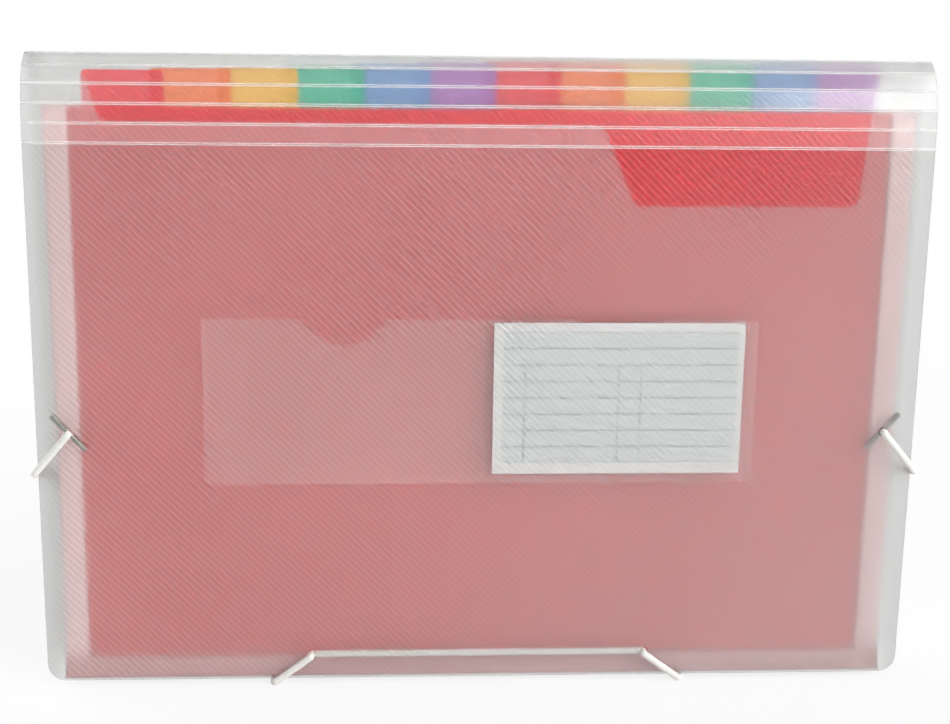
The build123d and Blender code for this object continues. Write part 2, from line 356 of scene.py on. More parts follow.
@dataclass(frozen=True)
class FilmFinish:
    """Frosted, translucent polypropylene of the cover: rough transmission under raised lines, with a painted
    highlight along the lines and, where an edge colour is given, painted shade over the side margins.
    """

    name: str
    milk: Colour = (0.76, 0.763, 0.757)
    # The line colour is a painted highlight: the raised lines are paler where they would catch the light.
    line_painted_highlight: Colour = (1.0, 1.0, 1.0)
    cloud_milk: Colour = (0.84, 0.845, 0.84)
    cloud_share: float = 0.35
    cloud_scale: float = 9.0
    # The edge colour is painted shade: the film turns darker over its side margins, past edge_span.
    painted_edge_shade: Colour | None = None
    edge_span: Span = (156.0 * MM, 164.0 * MM)
    clearness: float = 0.99
    roughness: float = 0.58
    low_haze: float = 0.14
    haze_span: Span = (30.0 * MM, 180.0 * MM)
    cloud_haze: float = 0.05
    scuff_amount: float = 0.06
    scuff_polish: float = 0.12
    base_gloss: float = 0.0
    line_gloss: float = 0.55
    lower_right_gloss: float = 1.0
    line_pitch: float = 2.0 * MM
    line_width: float = 0.62
    line_depth: float = 0.03 * MM
    grain_share: float = 0.03
    refraction: float = 1.18
    coat_refraction: float = 1.9
    coat_roughness: float = 0.13

    def make(self, effects: SharedEffects) -> Material:
        """Build the material.

        Args:
            effects: The shared node groups.

        Returns:
            The material.
        """
        material, graph, shader = new_material(self.name)
        where = graph.place()
        across, _, up = graph.split(where)
        lines = graph.group(
            effects.emboss, {"Vector": where, "Pitch": self.line_pitch, "Width": self.line_width}
        )
        mottle = graph.group(effects.mottle, {"Vector": where, "Scale": self.cloud_scale})
        scuffs = graph.group(effects.scuffs, {"Vector": where, "Amount": self.scuff_amount})["Mask"]
        # Painted highlight: the raised lines get the paler line colour.
        milk_and_line_highlight = graph.blend(lines["Height"], self.milk, self.line_painted_highlight)
        cloud_and_painted_light = graph.blend(graph.product(mottle["Cloud"], self.cloud_share), milk_and_line_highlight, self.cloud_milk)
        # Painted shade: the film turns darker towards the side margins.
        if self.painted_edge_shade is not None:
            edge = graph.ramp(graph.math("ABSOLUTE", across), *self.edge_span)
            cloud_and_painted_light = graph.blend(edge, cloud_and_painted_light, self.painted_edge_shade)
        haze = graph.ramp(up, *self.haze_span, self.roughness + self.low_haze, self.roughness)
        rough = graph.math("MULTIPLY_ADD", mottle["Cloud"], self.cloud_haze, haze)
        rough = graph.math("SUBTRACT", rough, graph.product(scuffs, self.scuff_polish))
        height = graph.math("MULTIPLY_ADD", mottle["Grain"], self.grain_share, lines["Height"])
        # Towards the lower right the coat gets glossier as the painted line highlight fades, standing in for
        # the paler, lit lower right of the flap.
        lower_right = graph.math("MULTIPLY_ADD", lines["Worn"], self.lower_right_gloss, self.base_gloss)
        gloss = graph.math("MULTIPLY_ADD", lines["Height"], self.line_gloss, lower_right)
        graph.feed(shader, {
            "Base Color": cloud_and_painted_light,
            "Roughness": rough,
            "Coat Weight": gloss,
            "Normal": graph.bump(height, self.line_depth, 1.0),
            "Transmission Weight": self.clearness,
            "IOR": self.refraction,
            "Coat IOR": self.coat_refraction,
            "Coat Roughness": self.coat_roughness,
        })
        return material


@dataclass(frozen=True)
class SheetFinish:
    """Thin coloured or milky sheet: a diffuse layer with a plain share of see-through."""

    name: str
    colour: Colour
    cover: float
    roughness: float = 0.42
    lift: float = 0.25
    pale_share: float = 0.4
    cloud_scale: float = 16.0
    grain_haze: float = 0.08
    scuff_amount: float = 0.05
    scuff_polish: float = 0.1
    bump_strength: float = 0.3
    # The base colour is painted shade: the sheet turns darker towards its base, below base_span.
    painted_base_shade: Colour | None = None
    base_span: Span = (0.0, 1.0)

    def make(self, effects: SharedEffects) -> Material:
        """Build the material.

        Args:
            effects: The shared node groups.

        Returns:
            The material.
        """
        material, graph, shader = new_material(self.name)
        where = graph.place()
        mottle = graph.group(effects.mottle, {"Vector": where, "Scale": self.cloud_scale})
        scuffs = graph.group(effects.scuffs, {"Vector": where, "Amount": self.scuff_amount})["Mask"]
        pale = tuple(1 - (1 - part) * (1 - self.lift * self.pale_share) for part in self.colour)
        tinted = graph.blend(graph.product(mottle["Cloud"], self.lift), self.colour, pale)
        # Painted shade: darker towards the base.
        if self.painted_base_shade is not None:
            low = graph.ramp(graph.split(where)[2], *self.base_span, 1.0, 0.0)
            tinted = graph.blend(low, tinted, self.painted_base_shade)
        rough = graph.math("MULTIPLY_ADD", mottle["Grain"], self.grain_haze, self.roughness)
        graph.feed(shader, {
            "Base Color": tinted,
            "Roughness": graph.math("SUBTRACT", rough, graph.product(scuffs, self.scuff_polish)),
            "Normal": graph.bump(mottle["Grain"], GRAIN_DEPTH, self.bump_strength),
            "Alpha": self.cover,
        })
        return material


@dataclass(frozen=True)
class FoldFinish:
    """Stress-whitened polypropylene along a crease: two white ridges beside a clear valley."""

    name: str = "whitened_fold"
    colour: Colour = (0.96, 0.95, 0.94)
    dull: Colour = (0.80, 0.79, 0.78)
    dull_share: float = 0.4
    cloud_scale: float = 60.0
    ridge_cover: float = 0.88
    valley_cover: float = 0.12
    patch_loss: float = 0.25
    roughness: float = 0.34
    grain_haze: float = 0.1

    def make(self, effects: SharedEffects) -> Material:
        """Build the material.

        Args:
            effects: The shared node groups.

        Returns:
            The material.
        """
        material, graph, shader = new_material(self.name)
        mottle = graph.group(effects.mottle, {"Vector": graph.place(), "Scale": self.cloud_scale})
        ridge = graph.add("ShaderNodeAttribute", attribute_name="ridge").outputs["Fac"]
        patchy = graph.math("MULTIPLY_ADD", mottle["Cloud"], -self.patch_loss, 1.0)
        white = graph.product(ridge, patchy)
        graph.feed(shader, {
            "Base Color": graph.blend(
                graph.product(mottle["Cloud"], self.dull_share), self.colour, self.dull
            ),
            "Roughness": graph.math("MULTIPLY_ADD", mottle["Grain"], self.grain_haze, self.roughness),
            "Alpha": graph.math("MULTIPLY_ADD", white, self.ridge_cover, self.valley_cover),
        })
        return material


@dataclass(frozen=True)
class CardFinish:
    """White card with a pale printed panel, ruled rows and three column lines."""

    name: str = "ruled_card"
    paper: Colour = (0.84, 0.82, 0.81)
    shade: Colour = (0.81, 0.79, 0.78)
    shade_share: float = 0.25
    panel: Colour = (0.715, 0.735, 0.73)
    ink: Colour = (0.44, 0.50, 0.50)
    ink_share: float = 0.85
    panel_left: float = 7.5 * MM
    panel_right: float = 96.3 * MM
    panel_low: float = 88.75 * MM
    panel_high: float = 139.55 * MM
    row_count: int = 8
    full_rows: int = 2
    columns: tuple[float, ...] = (15.9 * MM, 51.3 * MM, 59.7 * MM)
    line_width: float = 0.7 * MM
    line_fade: Span = (0.3, 0.7)
    soft: float = 0.15 * MM
    cloud_scale: float = 120.0
    cloud_haze: float = 0.1
    roughness: float = 0.7
    bump_strength: float = 0.4

    def ruling(self, graph: Graph, across: Any, up: Any) -> NodeSocket:
        """Rows over the whole panel, and columns under the first full rows.

        A line falls from 1 to 0 as the distance from its middle, in line widths, passes the fade.

        Args:
            graph: The material's graph.
            across: The card's x.
            up: The card's z.

        Returns:
            The mask of the ruled lines.
        """
        row = (self.panel_high - self.panel_low) / self.row_count
        step = graph.math("DIVIDE", graph.math("SUBTRACT", up, self.panel_low), row)
        near, far = (share * self.line_width for share in self.line_fade)
        off = graph.off_middle(graph.math("ADD", step, 0.5))
        ruled = graph.ramp(off, near / row, far / row, 1.0, 0.0)
        level = self.panel_high - self.full_rows * row
        below = graph.ramp(up, level, level + self.soft, 1.0, 0.0)
        for column in self.columns:
            gap = graph.math("ABSOLUTE", graph.math("SUBTRACT", across, column))
            line = graph.ramp(gap, near, far, 1.0, 0.0)
            ruled = graph.math("MAXIMUM", ruled, graph.product(line, below))
        return ruled

    def make(self, effects: SharedEffects) -> Material:
        """Build the material.

        Args:
            effects: The shared node groups.

        Returns:
            The material.
        """
        material, graph, shader = new_material(self.name)
        where = graph.place()
        across, _, up = graph.split(where)
        wide = graph.product(
            graph.ramp(across, self.panel_left, self.panel_left + self.soft),
            graph.ramp(across, self.panel_right - self.soft, self.panel_right, 1.0, 0.0),
        )
        high = graph.product(
            graph.ramp(up, self.panel_low, self.panel_low + self.soft),
            graph.ramp(up, self.panel_high - self.soft, self.panel_high, 1.0, 0.0),
        )
        inside = graph.product(wide, high)
        ruled = graph.product(self.ruling(graph, across, up), graph.product(inside, self.ink_share))
        mottle = graph.group(effects.mottle, {"Vector": where, "Scale": self.cloud_scale})
        paper = graph.blend(graph.product(mottle["Grain"], self.shade_share), self.paper, self.shade)
        printed = graph.blend(inside, paper, self.panel)
        graph.feed(shader, {
            "Base Color": graph.blend(ruled, printed, self.ink),
            "Roughness": graph.math("MULTIPLY_ADD", mottle["Cloud"], self.cloud_haze, self.roughness),
            "Normal": graph.bump(mottle["Grain"], GRAIN_DEPTH, self.bump_strength),
        })
        return material


@dataclass(frozen=True)
class BraidFinish:
    """Off-white braided sleeve of the elastic, on a UV map of turns round and metres along."""

    name: str = "braided_elastic"
    thread: Colour = (0.90, 0.895, 0.85)
    # The gap colour is painted shade: the grooves between the strands are darker.
    gap: Colour = (0.72, 0.71, 0.67)
    strands: float = 6.0
    lay: float = 3.2 * MM
    strand_fade: Span = (0.15, 0.5)
    cloud_scale: float = 240.0
    cloud_share: float = 0.3
    braid_depth: float = 0.12 * MM
    bump_strength: float = 0.8
    roughness: float = 0.6
    grain_haze: float = 0.15
    sheen: float = 0.25
    sheen_roughness: float = 0.4

    def make(self, effects: SharedEffects) -> Material:
        """Build the material.

        Args:
            effects: The shared node groups.

        Returns:
            The material.
        """
        material, graph, shader = new_material(self.name)
        sleeve = graph.split(graph.add("ShaderNodeUVMap", uv_map="sleeve").outputs[0])
        turns = graph.product(sleeve[0], self.strands)
        along = graph.math("DIVIDE", sleeve[1], self.lay / self.strands)
        strands = []
        for sense in (1.0, -1.0):
            phase = graph.math("MULTIPLY_ADD", along, sense, turns)
            strands.append(graph.ramp(graph.off_middle(phase), *self.strand_fade, 1.0, 0.0))
        woven = graph.math("MAXIMUM", *strands)
        mottle = graph.group(effects.mottle, {"Vector": graph.place(), "Scale": self.cloud_scale})
        cloud = graph.math("MULTIPLY_ADD", mottle["Cloud"], self.cloud_share, 1.0 - self.cloud_share)
        graph.feed(shader, {
            # Painted shade: darker between the strands.
            "Base Color": graph.blend(graph.product(woven, cloud), self.gap, self.thread),
            "Roughness": graph.math("MULTIPLY_ADD", mottle["Grain"], self.grain_haze, self.roughness),
            "Normal": graph.bump(woven, self.braid_depth, self.bump_strength),
            "Sheen Weight": self.sheen,
            "Sheen Roughness": self.sheen_roughness,
        })
        return material


@dataclass(frozen=True)
class SteelFinish:
    """Plated steel of the T-bars with fine drawing marks."""

    name: str = "drawn_steel"
    colour: Colour = (0.40, 0.41, 0.37)
    dull: Colour = (0.29, 0.30, 0.27)
    cloud_scale: float = 300.0
    scuff_amount: float = 0.25
    scuff_haze: float = 0.2
    roughness: float = 0.42
    bump_strength: float = 0.3

    def make(self, effects: SharedEffects) -> Material:
        """Build the material.

        Args:
            effects: The shared node groups.

        Returns:
            The material.
        """
        material, graph, shader = new_material(self.name)
        where = graph.place()
        mottle = graph.group(effects.mottle, {"Vector": where, "Scale": self.cloud_scale})
        scuffs = graph.group(effects.scuffs, {"Vector": where, "Amount": self.scuff_amount})["Mask"]
        graph.feed(shader, {
            "Base Color": graph.blend(mottle["Cloud"], self.colour, self.dull),
            "Roughness": graph.math("MULTIPLY_ADD", scuffs, self.scuff_haze, self.roughness),
            "Normal": graph.bump(mottle["Grain"], GRAIN_DEPTH, self.bump_strength),
            "Metallic": 1.0,
        })
        return material


def grid_quads(rows: int, columns: int, wrap: bool = False) -> np.ndarray:
    """Quads of a grid of points stored row by row.

    Args:
        rows: Number of rows.
        columns: Points in a row.
        wrap: Join the last column to the first.

    Returns:
        An array of four point numbers per quad.
    """
    numbers = np.arange(rows * columns).reshape(rows, columns)
    if wrap:
        numbers = np.concatenate([numbers, numbers[:, :1]], axis=1)
    corners = (numbers[:-1, :-1], numbers[:-1, 1:], numbers[1:, 1:], numbers[1:, :-1])
    return np.stack(corners, axis=-1).reshape(-1, 4)


def tube_faces(rows: int, columns: int) -> list[list[int]]:
    """Faces of a closed section carried along a path, with a cap on each end.

    Args:
        rows: Number of sections.
        columns: Points round a section.

    Returns:
        Point numbers of each face: all quads, then the first cap and the last one.
    """
    last = (rows - 1) * columns
    caps = [list(range(columns))[::-1], list(range(last, last + columns))]
    return grid_quads(rows, columns, wrap=True).tolist() + caps


def put_mesh(name: str, points: np.ndarray, faces: list[Any], smooth: bool = True) -> Object:
    """Make a mesh object at the origin.

    Args:
        name: The piece's name.
        points: Point places, one row each.
        faces: Point numbers of each face.
        smooth: Shade smoothly.

    Returns:
        The object, linked to the scene.
    """
    mesh = bpy.data.meshes.new(name)
    mesh.from_pydata(points.reshape(-1, 3).tolist(), [], faces)
    mesh.validate()
    mesh.polygons.foreach_set("use_smooth", np.full(len(mesh.polygons), smooth))
    mesh.update()
    piece = bpy.data.objects.new(name, mesh)
    bpy.context.scene.collection.objects.link(piece)
    return piece


def face_outward(piece: Object) -> None:
    """Turn all faces of a closed mesh outwards.

    Args:
        piece: The mesh object.
    """
    shell = bmesh.new()
    shell.from_mesh(piece.data)
    bmesh.ops.recalc_face_normals(shell, faces=shell.faces)
    shell.to_mesh(piece.data)
    shell.free()


def dress(piece: Object, material: Material) -> None:
    """Give a piece or a CAD node one material."""
    piece.data.materials.clear()
    piece.data.materials.append(material)


@dataclass
class Cover:
    """Back panel, spine and flap of one frosted sheet, with a whitened bead along each crease."""

    width: float = 330.0 * MM
    thickness: float = 0.7 * MM
    flap_top: float = 208.25 * MM
    strip_width: float = 7.0 * MM
    strip_slopes: tuple[float, ...] = (-4.0, 34.0, 60.0, 77.0, 84.0, 87.0)
    top_strips: int = 2
    bead_reach: float = 0.66 * MM
    bead_proud: float = 0.14 * MM
    bead_peak: float = 0.34 * MM
    bend_reach: float = 0.45 * MM
    edge_inset: float = 0.25 * MM
    ridge_width: float = 0.12 * MM
    ridge_gain: float = 1.3
    valley_sink: float = 0.25
    taper_reach: float = 0.2 * MM
    stand_off: float = 0.01 * MM
    inner_proud: float = 0.04 * MM
    profile_count: int = 49
    station_count: int = 67
    # Each film's edge colour is painted shade over the side margins.
    film: FilmFinish = FilmFinish(
        "frosted_cover_film", milk=(0.88, 0.883, 0.876), base_gloss=0.18, painted_edge_shade=(0.72, 0.724, 0.715)
    )
    upper_film: FilmFinish = FilmFinish(
        "frosted_upper_film", milk=(0.88, 0.883, 0.876), clearness=0.975, base_gloss=0.12,
        painted_edge_shade=(0.72, 0.724, 0.715),
    )
    flap_film: FilmFinish = FilmFinish("frosted_flap_film", painted_edge_shade=(0.66, 0.665, 0.655))
    top_film: FilmFinish = FilmFinish(
        "frosted_top_film", milk=(0.80, 0.804, 0.795), clearness=0.84, painted_edge_shade=(0.70, 0.704, 0.695)
    )
    # The back film's line colour is a painted highlight on its raised lines too.
    back_film: FilmFinish = FilmFinish(
        "frosted_back_film", milk=(0.58, 0.582, 0.575), line_painted_highlight=(0.72, 0.722, 0.715)
    )
    fold: FoldFinish = field(default_factory=FoldFinish)

    def creases(self) -> np.ndarray:
        """Crease lines as (y, z), from the back panel's top to the flap's top.

        Returns:
            An array of seven rows: the running sum of the strips, centred on y = 0.
        """
        slopes = np.radians(self.strip_slopes)
        steps = self.strip_width * np.stack([-np.cos(slopes), -np.sin(slopes)], axis=1)
        lines = np.concatenate([np.zeros((1, 2)), np.cumsum(steps, axis=0)])
        lines[:, 0] -= lines[-1, 0] / 2
        lines[:, 1] += self.flap_top - lines[-1, 1]
        return lines

    def bead_profile(self, crease: np.ndarray, before: float, after: float) -> np.ndarray:
        """Closed section of the bead that fills one crease.

        The middle line turns from one sheet's direction to the next by a smooth step and is the
        running sum of its own direction. The outer side lies half the sheet's thickness out and
        carries two low ridges with a valley between them; the inner side follows it plainly.

        Args:
            crease: The crease's y and z.
            before: Fall of the sheet behind the crease, in degrees below level.
            after: Fall of the sheet in front of it.

        Returns:
            Points (y, z) round the section, each with its share of ridge.
        """
        along = np.linspace(-self.bead_reach, self.bead_reach, self.profile_count)
        share = np.clip((along + self.bend_reach) / (2 * self.bend_reach), 0, 1)
        fall = np.radians(before + (after - before) * share * share * (3 - 2 * share))
        heading = np.stack([-np.cos(fall), -np.sin(fall)], axis=1)
        middle = np.concatenate([np.zeros((1, 2)), np.cumsum((heading[1:] + heading[:-1]) / 2, axis=0)])
        middle *= along[1] - along[0]
        ends = heading[0] + heading[-1]
        shift = middle[-1] @ ends / (ends @ ends)
        middle += crease - shift * heading[0]
        outward = np.stack([heading[:, 1], -heading[:, 0]], axis=1)
        ridge = np.exp(-(((np.abs(along) - self.bead_peak) / self.ridge_width) ** 2))
        taper = np.clip((self.bead_reach - np.abs(along)) / self.taper_reach, 0, 1)
        face = self.thickness / 2 + self.stand_off
        out = face + self.bead_proud * (ridge * self.ridge_gain - self.valley_sink) * taper
        inner = face + self.inner_proud * taper
        points = np.concatenate([middle + outward * out[:, None], (middle - outward * inner[:, None])[::-1]])
        share = np.concatenate([ridge * taper, np.zeros_like(along)])
        return np.concatenate([points, share[:, None]], axis=1)

    def bead(self, name: str, profile: np.ndarray) -> Object:
        """Carry a section along x from edge to edge of the cover.

        Args:
            name: The piece's name.
            profile: Points (y, z) round the section, each with its share of ridge.

        Returns:
            The closed bead, with the share as the point attribute "ridge".
        """
        reach = self.width / 2 - self.edge_inset
        stations = np.linspace(-reach, reach, self.station_count)
        points = np.empty((len(stations), len(profile), 3))
        points[:, :, 0] = stations[:, None]
        points[:, :, 1:] = profile[None, :, :2]
        piece = put_mesh(name, points, tube_faces(len(stations), len(profile)))
        ridge = np.tile(profile[:, 2], len(stations)).astype(np.float32)
        piece.data.attributes.new("ridge", "FLOAT", "POINT").data.foreach_set("value", ridge)
        face_outward(piece)
        return piece

    def build(self, frame: dict[str, Any], effects: SharedEffects) -> list[Object]:
        """Dress the sheets and make the beads.

        Args:
            frame: The loaded frame.
            effects: The shared node groups.

        Returns:
            The new pieces.
        """
        film, fold = self.film.make(effects), self.fold.make(effects)
        top, upper = self.top_film.make(effects), self.upper_film.make(effects)
        dress(frame["nodes"]["front_flap"], self.flap_film.make(effects))
        dress(frame["nodes"]["back_cover"], self.back_film.make(effects))
        lower = len(self.strip_slopes) - self.top_strips - 1
        paints = [top] * self.top_strips + [upper] + [film] * lower
        for number, paint in enumerate(paints, start=1):
            dress(frame["nodes"][f"spine_strip_{number}"], paint)
        lines = self.creases()
        names = ["crease_back", *(f"crease_{n}" for n in range(1, len(lines) - 1)), "crease_flap"]
        moving = {"crease_back": ("back_cover", "spine"), "crease_flap": ("spine", "front_flap")}
        falls = (-90.0, *self.strip_slopes, 90.0)
        pieces = []
        for name, crease, before, after in zip(names, lines, falls, falls[1:]):
            piece = self.bead(name, self.bead_profile(crease, before, after))
            dress(piece, fold)
            pair = moving.get(name)
            if pair:
                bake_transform(piece)
            else:
                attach(piece, "spine")
            pieces.append(piece)
        return pieces


@dataclass
class Bellows:
    """Front sheet, twelve coloured dividers and thirteen pleated gussets."""

    hues: tuple[Hue, ...] = tuple(Hue) * 2
    front_y: float = -4.129 * MM
    back_y: float = 9.129 * MM
    half_width: float = 150.0 * MM
    base: float = 9.35 * MM
    top: float = 220.68 * MM
    side_depth: float = 9.0 * MM
    base_depth: float = 7.0 * MM
    depth_share: float = 0.96
    depth_swing: float = 0.03
    depth_turn: float = 2.4
    wall_gap: float = 0.10 * MM
    wall: float = 0.12 * MM
    lean: float = 4.6 * MM
    fold_round: float = 0.12
    side_count: int = 25
    base_count: int = 41
    fold_count: int = 13
    tolerance: float = 1e-9
    divider_cover: float = 0.70
    divider_lift: float = 0.15
    sheet: SheetFinish = SheetFinish("clear_front_sheet", (0.82, 0.82, 0.82), 0.145)
    # The gusset film is clear: its pink colour is painted light, standing in for red light from the
    # dividers, and its base colour is painted shade.
    gusset: SheetFinish = SheetFinish(
        "gusset_film", (0.98, 0.72, 0.71), 0.80, painted_base_shade=(0.70, 0.42, 0.42),
        base_span=(4.35 * MM, 17.35 * MM),
    )

    def names(self) -> list[str]:
        """Names of the pocket walls from the front sheet to the back cover."""
        dividers = [f"divider_{n:02d}_{hue.name.lower()}" for n, hue in enumerate(self.hues, start=1)]
        return ["front_sheet", *dividers, "back_cover"]

    def pleat(self, name: str, front: float, back: float, depth: float, lean: float) -> Object:
        """One folded strip round the two sides and the base of a pocket.

        The grid runs along the pocket's outline and across the fold. A point is the outline plus
        its outward step times the fold's reach, and the reach rises to 1 in the middle along a
        rounded ridge, 1 less the root of (2t - 1) squared plus a small square. Along the base the
        fold also leans forward by a share of its reach.

        Args:
            name: The piece's name.
            front: The front wall's y.
            back: The back wall's y.
            depth: Share of the full pleat depth.
            lean: How far the base fold leans to the front.

        Returns:
            The gusset with its wall thickness as a modifier.
        """
        down = np.linspace(self.top, self.base, self.side_count)
        level = np.linspace(-self.half_width, self.half_width, self.base_count)[1:-1]
        left = np.stack([np.full_like(down, -self.half_width), down], axis=1)
        floor = np.stack([level, np.full_like(level, self.base)], axis=1)
        outline = np.concatenate([left, floor, left[::-1] * np.array([-1, 1])])
        at_side = np.abs(outline[:, 0]) > self.half_width - self.tolerance
        at_base = outline[:, 1] < self.base + self.tolerance
        out = np.sign(outline[:, 0]) * self.side_depth * at_side
        across = np.linspace(0, 1, self.fold_count)
        peak = 1 - np.sqrt((2 * across - 1) ** 2 + self.fold_round**2)
        reach = (depth * (peak - peak[0]) / (peak.max() - peak[0]))[:, None]
        points = np.empty((len(across), len(outline), 3))
        points[:, :, 0] = outline[:, 0] + reach * out
        points[:, :, 1] = (front + (back - front) * across)[:, None] - lean * reach * at_base
        points[:, :, 2] = outline[:, 1] - reach * self.base_depth * at_base
        piece = put_mesh(name, points, grid_quads(len(across), len(outline)).tolist())
        thick = piece.modifiers.new("wall", "SOLIDIFY")
        thick.thickness = self.wall
        thick.offset = 0.0
        return piece

    def build(self, frame: dict[str, Any], effects: SharedEffects) -> list[Object]:
        """Dress the sheets and make the gussets.

        Args:
            frame: The loaded frame.
            effects: The shared node groups.

        Returns:
            The gussets.
        """
        dress(frame["nodes"]["front_sheet"], self.sheet.make(effects))
        paints = {}
        for hue in Hue:
            label = f"{hue.name.lower()}_divider_sheet"
            finish = SheetFinish(label, hue.value, self.divider_cover, lift=self.divider_lift)
            paints[hue] = finish.make(effects)
        walls = self.names()
        for name, hue in zip(walls[1:], self.hues):
            dress(frame["nodes"][name], paints[hue])
        film = self.gusset.make(effects)
        planes = np.linspace(self.front_y, self.back_y, len(walls))
        depths = self.depth_share + self.depth_swing * np.sin(np.arange(len(walls)) * self.depth_turn)
        pieces = []
        for number, (front, back) in enumerate(zip(planes, planes[1:]), start=1):
            lean = self.lean * (1 - (number - 1) / len(walls)) ** 3
            name, depth = f"pleat_{number:02d}", float(depths[number])
            piece = self.pleat(name, front + self.wall_gap, back - self.wall_gap, depth, lean)
            dress(piece, film)
            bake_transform(piece)
            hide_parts(f"gusset_{number:02d}")
            pieces.append(piece)
        return pieces


@dataclass
class Label:
    """Welded label pocket inside the flap, and its card."""

    pocket: SheetFinish = SheetFinish("label_pocket_film", (1.0, 1.0, 1.0), 0.072, roughness=0.3)
    card: CardFinish = field(default_factory=CardFinish)

    def build(self, frame: dict[str, Any], effects: SharedEffects) -> None:
        """Dress the pocket and the card.

        Args:
            frame: The loaded frame.
            effects: The shared node groups.
        """
        dress(frame["nodes"]["label_pocket"], self.pocket.make(effects))
        dress(frame["nodes"]["label_card"], self.card.make(effects))


@dataclass
class Elastic:
    """Braided cord round the two lower corners, its run behind the flap and the T-bars on its ends."""

    radius: float = 1.33 * MM
    front_y: float = -11.179 * MM
    floor_lift: float = 0.02 * MM
    keep: float = 0.04
    ring_count: int = 16
    spline_order: int = 3
    spline_steps: int = 10
    same_place: float = 0.001 * MM
    guide: Point = (0.0, 0.45, 0.89)
    # Side hole, side edge, back corner and base; millimetres on the right-hand side
    loop_points: tuple[Point, ...] = (
        (153.5, -9.48, 100.65),
        (153.5, -10.41, 100.65),
        (153.5, -11.18, 100.65),
        (155.18, -11.18, 98.66),
        (164.67, -11.18, 87.39),
        (166.35, -11.18, 85.4),
        (166.35, -8.64, 84.85),
        (166.35, 8.64, 81.15),
        (166.35, 11.18, 80.6),
        (164.43, 11.18, 78.85),
        (80.92, 11.18, 2.65),
        (79.0, 11.18, 0.9),
        (79.0, 10.41, 0.9),
        (79.0, 9.48, 0.9),
    )
    # Under the base, up the front and into the bottom hole
    foot_points: tuple[Point, ...] = (
        (79.0, 9.48, 0.9),
        (79.0, -8.58, 0.9),
        (79.0, -11.18, 0.9),
        (76.9, -11.18, 2.43),
        (66.8, -11.18, 9.82),
        (64.7, -11.18, 11.35),
        (64.7, -10.41, 11.35),
        (64.7, -9.48, 11.35),
    )
    # Behind the flap, from the left bottom hole to the right one
    run_points: tuple[Point, ...] = (
        (-64.7, -9.48, 11.35),
        (-64.7, -8.54, 11.35),
        (-64.7, -7.78, 11.35),
        (-62.1, -7.78, 11.35),
        (62.1, -7.78, 11.35),
        (64.7, -7.78, 11.35),
        (64.7, -8.54, 11.35),
        (64.7, -9.48, 11.35),
    )
    braid: BraidFinish = field(default_factory=BraidFinish)
    steel: SteelFinish = field(default_factory=SteelFinish)

    def line(self, points: Sequence[Point], side: Side = Side.RIGHT) -> np.ndarray:
        """Points along the NURBS spline of one stretch of the cord.

        The cord is pulled tight over edges, so its list has a control point close before and close
        after each edge, and the spline is straight from edge to edge.

        Args:
            points: Control points in millimetres, on the right-hand side.
            side: The half of the file; the left one mirrors the points.

        Returns:
            Points along the spline in metres, one row each.
        """
        places = np.array(points) * MM * (side.value, 1, 1)
        curve = bpy.data.curves.new("cord_route", "CURVE")
        curve.dimensions = "3D"
        spline = curve.splines.new("NURBS")
        spline.points.add(len(places) - 1)
        spline.points.foreach_set("co", np.column_stack([places, np.ones(len(places))]).ravel())
        spline.order_u = self.spline_order
        spline.use_endpoint_u = True
        spline.resolution_u = self.spline_steps
        carrier = bpy.data.objects.new("cord_route", curve)
        mesh = bpy.data.meshes.new_from_object(carrier)
        line = np.empty(len(mesh.vertices) * 3)
        mesh.vertices.foreach_get("co", line)
        bpy.data.objects.remove(carrier)
        bpy.data.curves.remove(curve)
        bpy.data.meshes.remove(mesh)
        line = line.reshape(-1, 3)
        apart = np.linalg.norm(np.diff(line, axis=0), axis=1) > self.same_place
        return line[np.concatenate([[True], apart])]

    def tube(self, name: str, line: np.ndarray) -> Object:
        """A round section carried along a line, with its sleeve as a UV map.

        A point is the middle plus the radius times the cosine of its turn along one axis and the
        sine along the other. The first axis is the line's direction crossed with a steady guide that
        is never along it, and the second is the direction crossed with the first. The underside is
        flat where it would pass below the standing surface.

        Args:
            name: The piece's name.
            line: Points along the middle.

        Returns:
            The closed tube.
        """
        ahead = np.gradient(line, axis=0)
        ahead /= np.linalg.norm(ahead, axis=1)[:, None]
        side = np.cross(ahead, self.guide)
        side /= np.linalg.norm(side, axis=1)[:, None]
        up = np.cross(ahead, side)
        rows, count = len(line), self.ring_count
        turn = np.arange(count) / count * 2 * np.pi
        ring = np.cos(turn)[None, :, None] * side[:, None] + np.sin(turn)[None, :, None] * up[:, None]
        points = line[:, None] + self.radius * ring
        points[:, :, 2] = np.maximum(points[:, :, 2], self.floor_lift)
        piece = put_mesh(name, points, tube_faces(rows, count))
        travel = np.concatenate([[0], np.cumsum(np.linalg.norm(np.diff(line, axis=0), axis=1))])
        row = np.arange(rows - 1).repeat(count)
        column = np.tile(np.arange(count), rows - 1)
        around = np.stack([column, column + 1, column + 1, column], axis=1) / count
        length = travel[np.stack([row, row, row + 1, row + 1], axis=1)]
        caps = np.zeros((2 * count, 2))
        sleeve = np.concatenate([np.stack([around, length], axis=-1).reshape(-1, 2), caps])
        piece.data.uv_layers.new(name="sleeve").data.foreach_set("uv", sleeve.astype(np.float32).ravel())
        face_outward(piece)
        return piece

